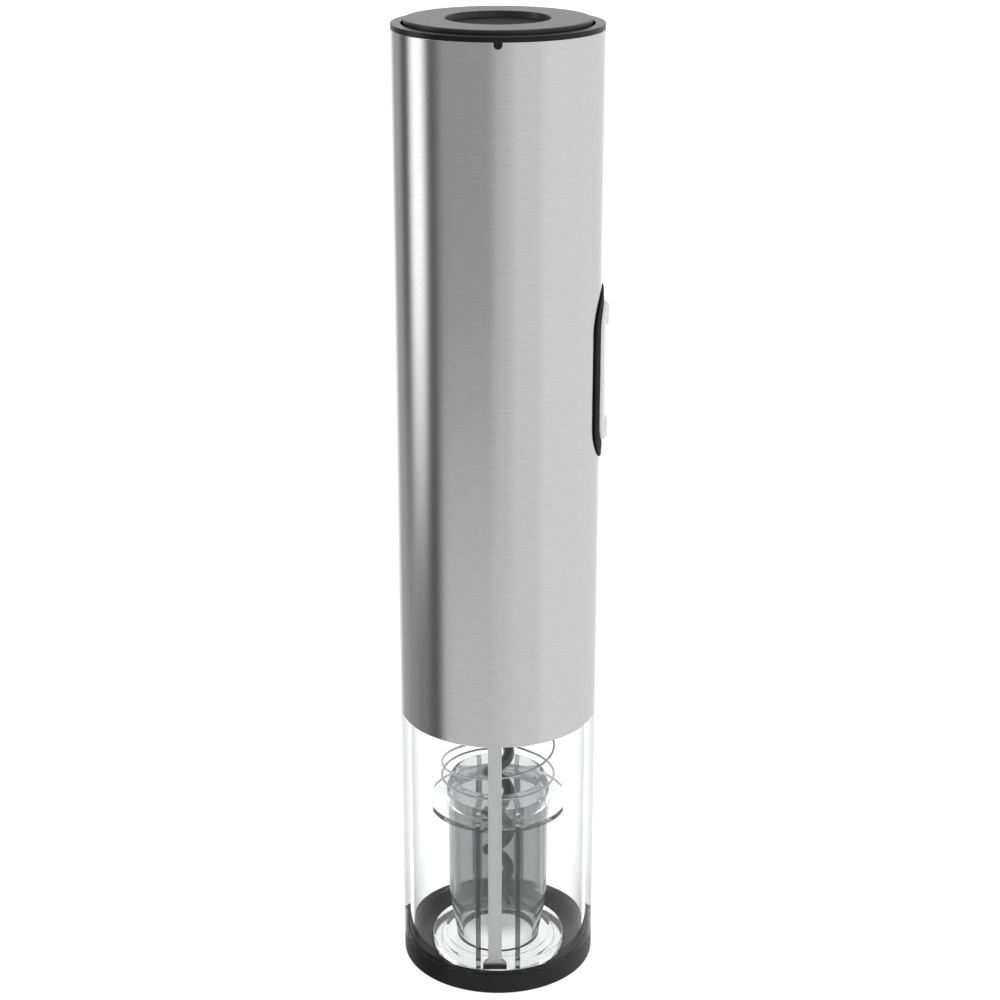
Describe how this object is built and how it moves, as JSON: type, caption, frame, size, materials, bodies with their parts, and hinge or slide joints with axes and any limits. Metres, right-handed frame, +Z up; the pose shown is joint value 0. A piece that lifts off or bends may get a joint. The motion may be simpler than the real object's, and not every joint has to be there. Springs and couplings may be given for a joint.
{
  "type": "electric wine opener",
  "caption": "Electric wine opener: brushed steel and clear plastic cylinder with a motor-driven cork screw, clear up/down rocker and twist-off battery cap",
  "frame": {"origin": "centre of the bottle opening in the flat bottom face of the base ring", "axes": "+Z up along the cork screw, +X to the button side, -Y to the front with the steel strip"},
  "size_m": [0.0519, 0.05, 0.2453],
  "materials": {
    "steel": "fine horizontal brushing",
    "black": "satin black moulding",
    "base_black": "satin black moulding",
    "clear": "clear polished acrylic",
    "rocker_clear": "clear frosted acrylic",
    "smoke": "smoke-grey clear plastic",
    "worm_black": "non-stick coating",
    "bare_steel": "bright steel",
    "zinc": "zinc plate",
    "frame_plastic": "moulded plastic",
    "gear_plastic": "acetal",
    "brass": "turned brass",
    "copper": "enamelled copper",
    "iron": "laminated iron",
    "board_green": "solder mask",
    "switch_black": "moulded plastic",
    "plunger_white": "moulded plastic",
    "cell_wrap": "printed sleeve without marks"
  },
  "bodies": {
    "worm_drive": {"worm": "worm_black", "output_carrier": "zinc", "output_pins": "bare_steel"},
    "first_stage": {"first_carrier": "zinc", "first_pins": "bare_steel"},
    "rotor": {"motor_shaft": "bare_steel", "motor_pinion": "brass", "motor_armature": "iron", "motor_windings": "copper", "motor_commutator": "copper"},
    "sleeve": {"sleeve_carrier": "clear", "cork_barrel": "smoke"},
    "strip": {"trip_strip": "bare_steel"},
    "limit_button": {"limit_plunger": "plunger_white"},
    "rocker": {"button_rocker": "rocker_clear"},
    "up_button": {"up_plunger": "plunger_white"},
    "down_button": {"down_plunger": "plunger_white"},
    "cap": {"battery_cap": "black", "cap_contacts": "bare_steel"},
    "output_planet_body_1": {"output_planet_1": "gear_plastic"},
    "first_planet_body_1": {"first_planet_1": "gear_plastic"},
    "output_planet_body_2": {"output_planet_2": "gear_plastic"},
    "first_planet_body_2": {"first_planet_2": "gear_plastic"},
    "output_planet_body_3": {"output_planet_3": "gear_plastic"},
    "first_planet_body_3": {"first_planet_3": "gear_plastic"},
    "base": {"steel_shell": "steel", "top_ring": "black", "button_bezel": "black", "base_ring": "base_black", "clear_tube": "clear", "return_spring": "bare_steel", "rocker_pin": "bare_steel", "chassis_screws": "bare_steel", "motor_screws": "bare_steel", "contact_springs": "bare_steel", "tray_contacts": "bare_steel", "motor_can": "zinc", "motor_plate": "zinc", "spring_seat": "frame_plastic", "chassis_front": "frame_plastic", "chassis_rear": "frame_plastic", "battery_tray": "frame_plastic", "motor_end_cap": "frame_plastic", "ring_gear": "gear_plastic", "output_bushing": "brass", "motor_terminals": "brass", "motor_magnets": "iron", "circuit_board": "board_green", "button_switches": "switch_black", "limit_switch": "switch_black", "motor_relay": "switch_black", "status_leds": "plunger_white", "battery_cell_1": "cell_wrap", "battery_cell_2": "cell_wrap", "battery_cell_3": "cell_wrap", "battery_cell_4": "cell_wrap"}
  },
  "joints": [
    {"name": "worm_spin", "type": "hinge", "parent": "base", "child": "worm_drive", "pos_m": [0, 0, 0.102], "axis": [0, 0, 1], "continuous": true},
    {"name": "first_stage_spin", "type": "hinge", "parent": "base", "child": "first_stage", "pos_m": [0, 0, 0.118], "axis": [0, 0, 1], "continuous": true},
    {"name": "rotor_spin", "type": "hinge", "parent": "base", "child": "rotor", "pos_m": [0, 0, 0.14], "axis": [0, 0, 1], "continuous": true},
    {"name": "sleeve_lift", "type": "slide", "parent": "base", "child": "sleeve", "axis": [0, 0, 1], "range_m": [0, 0.045], "stiffness_N_per_m": 150, "springref_m": -0.03, "deforming": ["return_spring"]},
    {"name": "strip_trip", "type": "slide", "parent": "base", "child": "strip", "axis": [0, 0, 1], "range_m": [0, 0.002], "stiffness_N_per_m": 150, "springref_m": -0.001},
    {"name": "limit_press", "type": "slide", "parent": "base", "child": "limit_button", "axis": [0, 0, 1], "range_m": [0, 0.0009], "stiffness_N_per_m": 200, "springref_m": -0.001},
    {"name": "rocker_tilt", "type": "hinge", "parent": "base", "child": "rocker", "pos_m": [0.0219, 0, 0.1607], "axis": [0, 1, 0], "range_deg": [-3, 3], "stiffness_Nm_per_rad": 0.05},
    {"name": "up_press", "type": "slide", "parent": "base", "child": "up_button", "axis": [-1, 0, 0], "range_m": [0, 0.00025], "stiffness_N_per_m": 500, "springref_m": -0.0005},
    {"name": "down_press", "type": "slide", "parent": "base", "child": "down_button", "axis": [-1, 0, 0], "range_m": [0, 0.00025], "stiffness_N_per_m": 500, "springref_m": -0.0005},
    {"name": "cap_twist", "type": "hinge", "parent": "base", "child": "cap", "pos_m": [0, 0, 0.242], "axis": [0, 0, 1], "range_deg": [0, 25]},
    {"name": "output_planet_spin_1", "type": "hinge", "parent": "worm_drive", "child": "output_planet_body_1", "pos_m": [0.009, 0, 0.114], "axis": [0, 0, 1], "continuous": true},
    {"name": "first_planet_spin_1", "type": "hinge", "parent": "first_stage", "child": "first_planet_body_1", "pos_m": [0.009, 0, 0.1227], "axis": [0, 0, 1], "continuous": true},
    {"name": "output_planet_spin_2", "type": "hinge", "parent": "worm_drive", "child": "output_planet_body_2", "pos_m": [-0.0045, 0.00779, 0.114], "axis": [0, 0, 1], "continuous": true},
    {"name": "first_planet_spin_2", "type": "hinge", "parent": "first_stage", "child": "first_planet_body_2", "pos_m": [-0.0045, 0.00779, 0.1227], "axis": [0, 0, 1], "continuous": true},
    {"name": "output_planet_spin_3", "type": "hinge", "parent": "worm_drive", "child": "output_planet_body_3", "pos_m": [-0.0045, -0.00779, 0.114], "axis": [0, 0, 1], "continuous": true},
    {"name": "first_planet_spin_3", "type": "hinge", "parent": "first_stage", "child": "first_planet_body_3", "pos_m": [-0.0045, -0.00779, 0.1227], "axis": [0, 0, 1], "continuous": true}
  ],
  "couplings": [
    {"joint": "first_stage_spin", "follows": "worm_spin", "ratio": 6},
    {"joint": "rotor_spin", "follows": "worm_spin", "ratio": 36},
    {"joint": "output_planet_spin_1", "follows": "worm_spin", "ratio": -2.5},
    {"joint": "first_planet_spin_1", "follows": "worm_spin", "ratio": -15},
    {"joint": "output_planet_spin_2", "follows": "worm_spin", "ratio": -2.5},
    {"joint": "first_planet_spin_2", "follows": "worm_spin", "ratio": -15},
    {"joint": "output_planet_spin_3", "follows": "worm_spin", "ratio": -2.5},
    {"joint": "first_planet_spin_3", "follows": "worm_spin", "ratio": -15}
  ]
}
